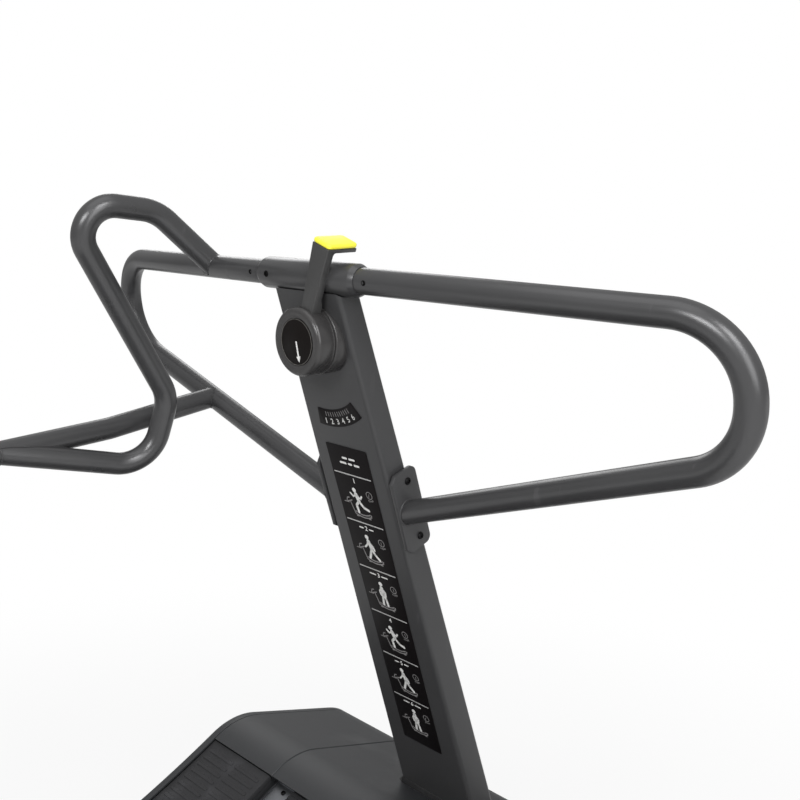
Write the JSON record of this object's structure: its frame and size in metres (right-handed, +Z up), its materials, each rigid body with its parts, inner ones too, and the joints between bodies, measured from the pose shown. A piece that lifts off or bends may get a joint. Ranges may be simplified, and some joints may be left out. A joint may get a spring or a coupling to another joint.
{
  "type": "curved treadmill",
  "caption": "Motorless curved treadmill with a slat belt, sloping mast, looped handlebar, side grab rail and a lever selector for its magnetic brake.",
  "frame": {"origin": "on the floor, under the middle of the machine's overall box", "axes": "+X to the runner's right, +Y forwards (the way the runner faces), +Z up"},
  "size_m": [1.1128, 1.78, 1.4112],
  "materials": {
    "mast_paint": "satin charcoal paint",
    "tube_paint": "satin dark metallic paint",
    "frame_paint": "satin black paint",
    "cover_plastic": "fine grain",
    "step_rubber": "matt, ribbed",
    "slat_aluminium": "satin",
    "steel": "zinc plated",
    "belt_rubber": "matt",
    "knob_plastic": "satin",
    "dial_black": "matt",
    "cap_yellow": "satin",
    "plaque_black": "satin",
    "magnet_nickel": "nickel plated",
    "foot_rubber": "matt"
  },
  "bodies": {
    "frame": {"mast": "mast_paint", "top_sleeve": "tube_paint", "handle_loop_left": "tube_paint", "handle_loop_right": "tube_paint", "loop_plate_left": "mast_paint", "loop_plate_right": "mast_paint", "plate_bolt_upper": "steel", "plate_bolt_lower": "steel", "grab_handle_left": "tube_paint", "side_rail_left": "tube_paint", "selector_base": "knob_plastic", "scale_plaque": "plaque_black", "chart_plaque": "plaque_black", "side_plate_left": "frame_paint", "side_plate_right": "frame_paint", "front_beam": "frame_paint", "rear_beam": "frame_paint", "base_rail_left": "frame_paint", "base_rail_right": "frame_paint", "step_left": "step_rubber", "step_right": "step_rubber", "side_cover_left": "cover_plastic", "side_cover_right": "cover_plastic", "front_cover": "cover_plastic", "rear_cover": "cover_plastic", "rear_handle": "tube_paint", "slat_belt": "slat_aluminium", "roller_track_left": "steel", "roller_track_right": "steel", "front_bearing_left": "frame_paint", "front_bearing_right": "frame_paint", "rear_bearing_left": "frame_paint", "rear_bearing_right": "frame_paint", "flywheel_bearing": "frame_paint", "brake_belt": "belt_rubber", "brake_bracket": "frame_paint", "brake_cable": "belt_rubber", "carriage_spring": "steel", "wheel_axle": "steel"},
    "selector": {"selector_knob": "knob_plastic", "dial_face": "dial_black", "selector_lever": "knob_plastic", "lever_cap": "cap_yellow", "selector_shaft": "steel", "cable_cam": "steel"},
    "front_axle": {"front_shaft": "steel", "front_drum": "cover_plastic", "drive_pulley": "cover_plastic"},
    "rear_axle": {"rear_shaft": "steel", "rear_drum": "cover_plastic"},
    "flywheel": {"flywheel": "slat_aluminium", "flywheel_shaft": "steel"},
    "carriage": {"magnet_carriage": "steel", "brake_magnet": "magnet_nickel"},
    "foot_front_left": {"foot_front_left": "foot_rubber"},
    "foot_front_right": {"foot_front_right": "foot_rubber"},
    "foot_rear_left": {"foot_rear_left": "foot_rubber"},
    "foot_rear_right": {"foot_rear_right": "foot_rubber"},
    "wheel_left": {"wheel_left": "foot_rubber"},
    "wheel_right": {"wheel_right": "foot_rubber"}
  },
  "joints": [
    {"name": "selector_turn", "type": "hinge", "parent": "frame", "child": "selector", "pos_m": [0.008, 0.46459, 1.22383], "axis": [0, -1, 0], "range_deg": [0, 24]},
    {"name": "carriage_swing", "type": "hinge", "parent": "frame", "child": "carriage", "pos_m": [0.291, 0.8, 0.305], "axis": [1, 0, 0], "range_deg": [0, 9], "deforming": ["carriage_spring"]},
    {"name": "front_axle_spin", "type": "hinge", "parent": "frame", "child": "front_axle", "pos_m": [0, 0.6, 0.36], "axis": [1, 0, 0], "continuous": true},
    {"name": "rear_axle_spin", "type": "hinge", "parent": "frame", "child": "rear_axle", "pos_m": [0, -0.7, 0.24], "axis": [1, 0, 0], "continuous": true},
    {"name": "flywheel_spin", "type": "hinge", "parent": "frame", "child": "flywheel", "pos_m": [0.291, 0.7, 0.205], "axis": [1, 0, 0], "continuous": true},
    {"name": "foot_front_left_screw", "type": "slide", "parent": "frame", "child": "foot_front_left", "axis": [0, 0, -1], "range_m": [-0.01, 0.01]},
    {"name": "foot_front_right_screw", "type": "slide", "parent": "frame", "child": "foot_front_right", "axis": [0, 0, -1], "range_m": [-0.01, 0.01]},
    {"name": "foot_rear_left_screw", "type": "slide", "parent": "frame", "child": "foot_rear_left", "axis": [0, 0, -1], "range_m": [-0.01, 0.01]},
    {"name": "foot_rear_right_screw", "type": "slide", "parent": "frame", "child": "foot_rear_right", "axis": [0, 0, -1], "range_m": [-0.01, 0.01]},
    {"name": "wheel_left_spin", "type": "hinge", "parent": "frame", "child": "wheel_left", "pos_m": [-0.3173, 0.835, 0.0525], "axis": [1, 0, 0], "continuous": true},
    {"name": "wheel_right_spin", "type": "hinge", "parent": "frame", "child": "wheel_right", "pos_m": [0.3173, 0.835, 0.0525], "axis": [1, 0, 0], "continuous": true}
  ],
  "couplings": [
    {"joint": "carriage_swing", "follows": "selector_turn", "ratio": 0.375},
    {"joint": "rear_axle_spin", "follows": "front_axle_spin", "ratio": 1},
    {"joint": "flywheel_spin", "follows": "front_axle_spin", "ratio": 3.6111}
  ]
}
